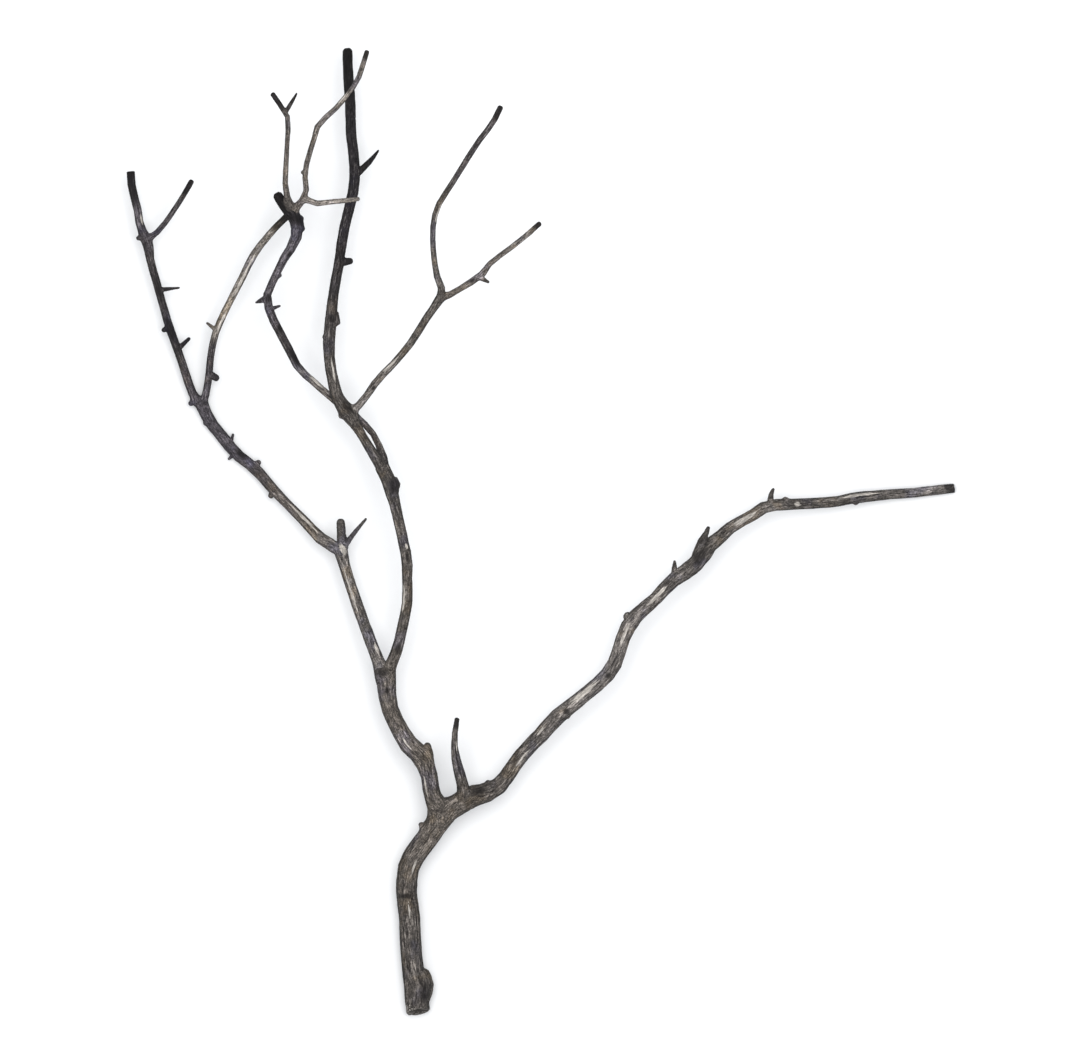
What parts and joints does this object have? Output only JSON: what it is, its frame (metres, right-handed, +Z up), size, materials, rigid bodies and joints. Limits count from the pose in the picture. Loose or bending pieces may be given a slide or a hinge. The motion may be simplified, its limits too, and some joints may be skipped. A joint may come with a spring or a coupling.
{
  "type": "fallen tree branch",
  "caption": "Bare, weathered, forked tree branch with a sawn butt, lying on the ground on its butt, one bough and one limb end.",
  "frame": {"origin": "on the ground, under the middle of the branch's box", "axes": "+Y from the sawn butt towards the top of the leader, +X towards the end of the right limb, +Z up"},
  "size_m": [0.8294, 0.9694, 0.1396],
  "materials": {
    "grey_bark": "weathered grey-brown wood, finely furrowed along the grain",
    "bare_wood": "paler bare twig wood, dry and fibrous",
    "dusky_bark": "thin dark bark with a bluish-grey cast",
    "black_bark": "nearly black weathered bark"
  },
  "bodies": {
    "root": {"trunk": "grey_bark", "left_limb": "grey_bark", "left_bough": "grey_bark", "far_left_twig": "dusky_bark", "far_left_side_twig": "dusky_bark", "inner_left_twig": "bare_wood", "centre_limb": "grey_bark", "leader": "black_bark", "rear_limb": "dusky_bark", "upper_left_twig": "bare_wood", "upper_right_twig": "bare_wood", "crossing_twig": "bare_wood", "right_centre_twig": "bare_wood", "arching_twig": "dusky_bark", "kinked_twig": "bare_wood", "right_limb": "grey_bark", "spur_twig": "grey_bark"}
  },
  "joints": []
}
